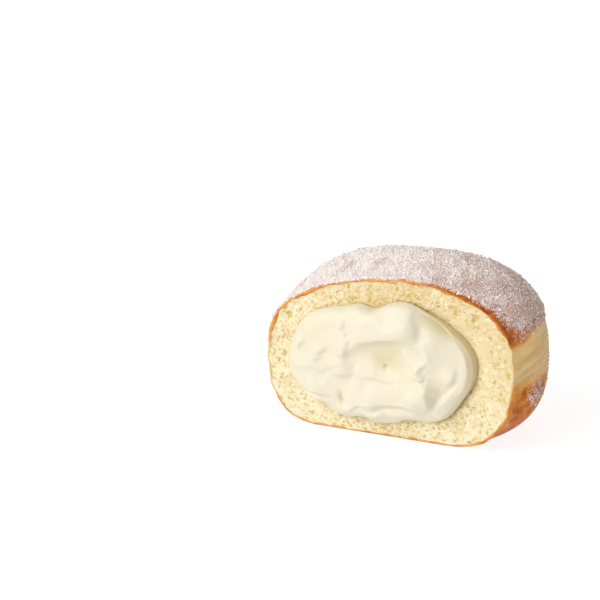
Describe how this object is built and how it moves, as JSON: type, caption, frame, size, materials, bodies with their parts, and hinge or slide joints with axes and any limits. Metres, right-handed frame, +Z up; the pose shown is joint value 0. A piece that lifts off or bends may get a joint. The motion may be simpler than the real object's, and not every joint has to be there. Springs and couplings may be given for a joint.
{
  "type": "cream filled doughnut half",
  "caption": "Half of a round yeast doughnut, cut down the middle, sugar dusted on its crown, with folded cream filling bulging from the cut.",
  "frame": {"origin": "on the ground below the middle of the bounding box", "axes": "+Z up, +X along the cut from its left to its right seen from the front, the cut faces -Y"},
  "size_m": [0.088, 0.0566, 0.0569],
  "materials": {
    "dough": "fried yeast dough, brown crust with a pale waist, pale open crumb at the cut, fine white sugar on the crown",
    "cream": "soft satin whipped custard cream, pale ivory"
  },
  "bodies": {
    "root": {"dough": "dough", "cream": "cream"}
  },
  "joints": []
}
